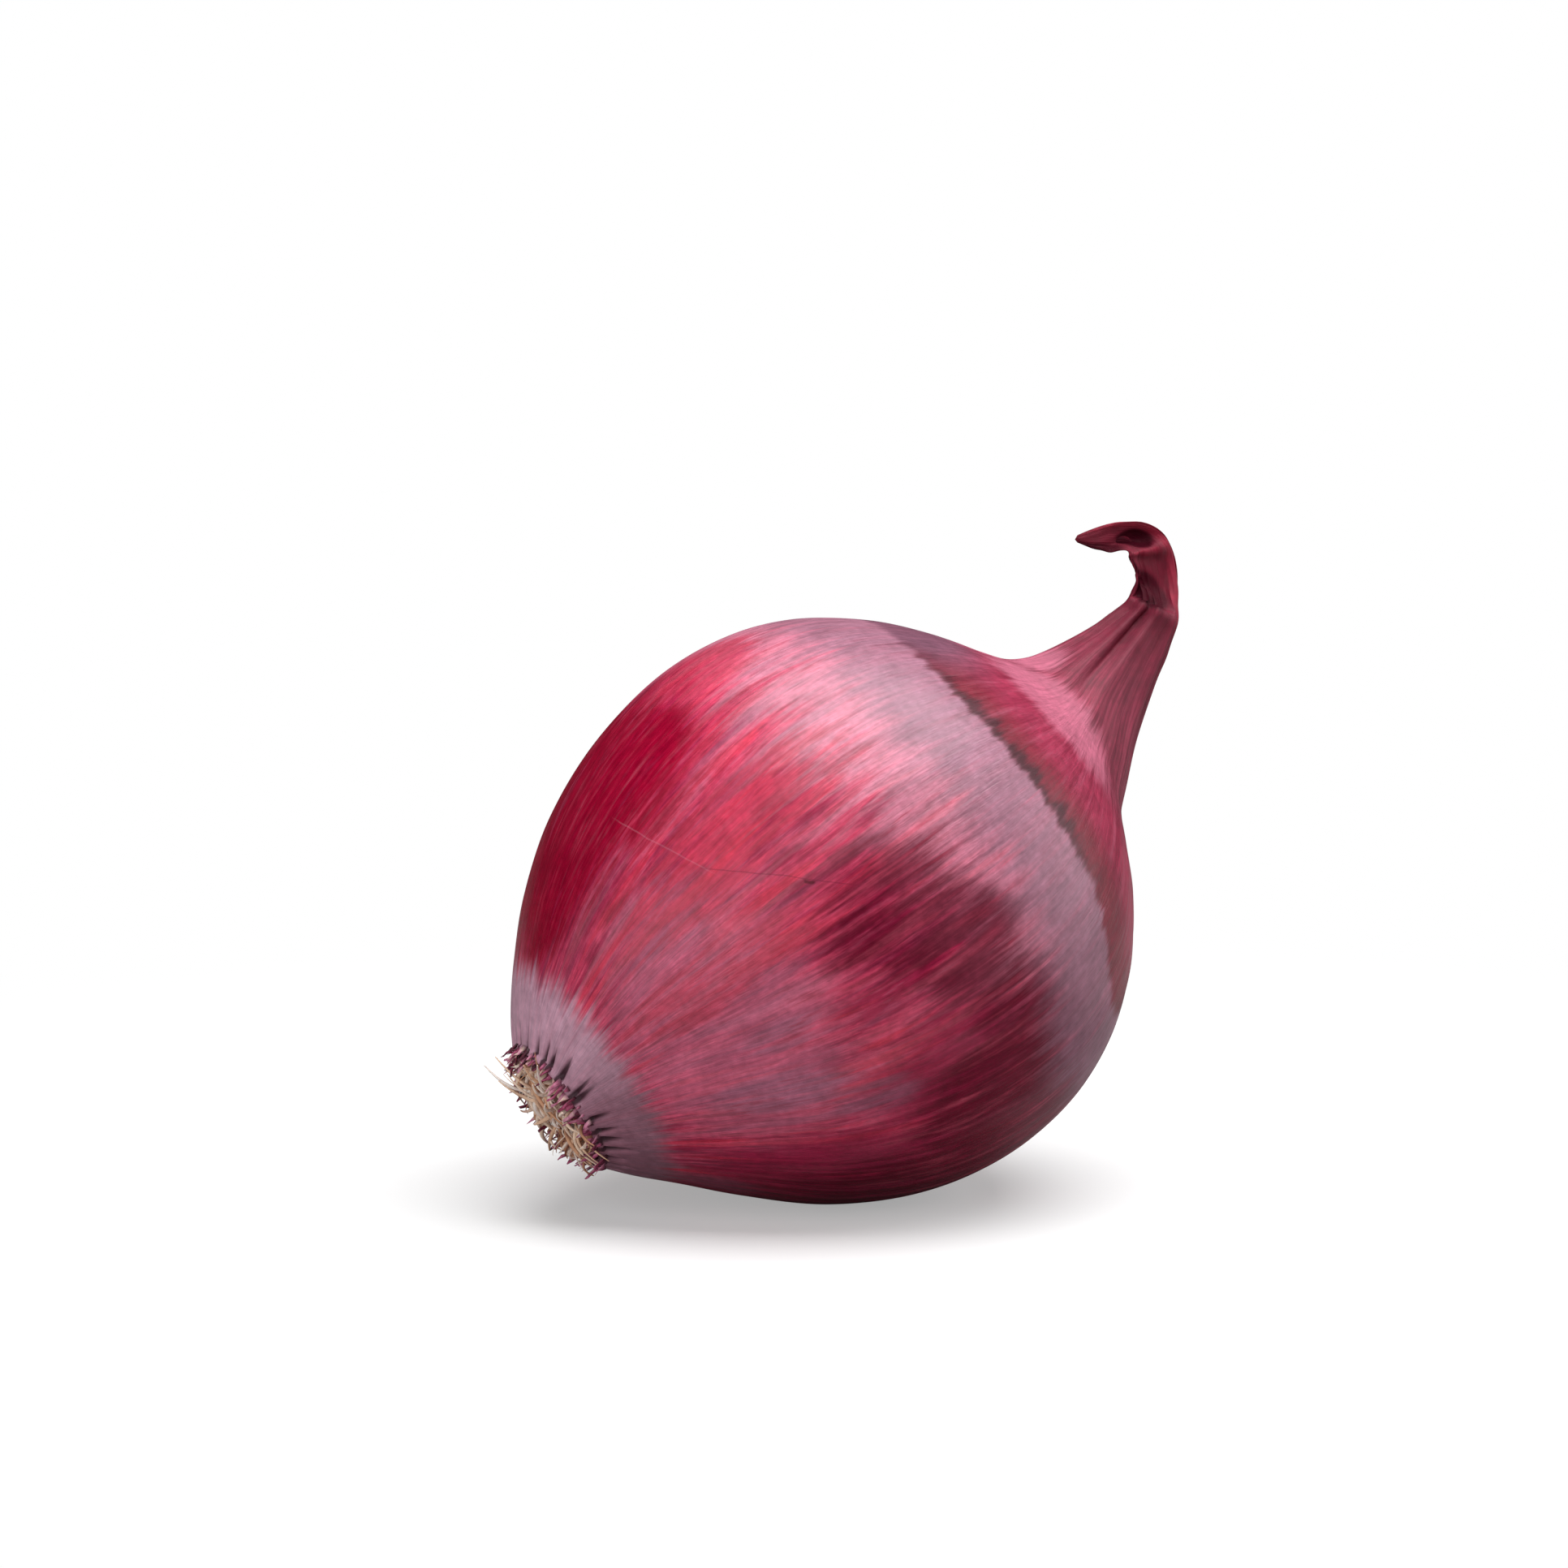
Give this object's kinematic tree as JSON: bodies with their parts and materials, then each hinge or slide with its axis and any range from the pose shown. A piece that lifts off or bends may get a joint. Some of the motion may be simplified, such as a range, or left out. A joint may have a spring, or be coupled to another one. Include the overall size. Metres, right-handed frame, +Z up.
{
  "type": "red onion",
  "caption": "Whole red onion lying on its side: a round bulb in dry glossy skin, a pleated neck with a folded papery tail, and a tuft of dried roots.",
  "frame": {"origin": "middle of the small flat spot that the onion rests on, straight below the middle of the globe", "axes": "+Z up, +X towards the neck along the floor, +Y to the far side; the onion's own axis lies in the XZ plane, 31.3 degrees above +X"},
  "size_m": [0.0924, 0.0732, 0.0816],
  "materials": {
    "onion_skin": "thin dry onion skin, glossy crimson and purple with fine streaks from root to neck, dull and darker on the folded tail",
    "dried_root": "matt straw-coloured dried roots on a brown corky plate"
  },
  "bodies": {
    "root": {"bulb": "onion_skin", "root_tuft": "dried_root"}
  },
  "joints": []
}
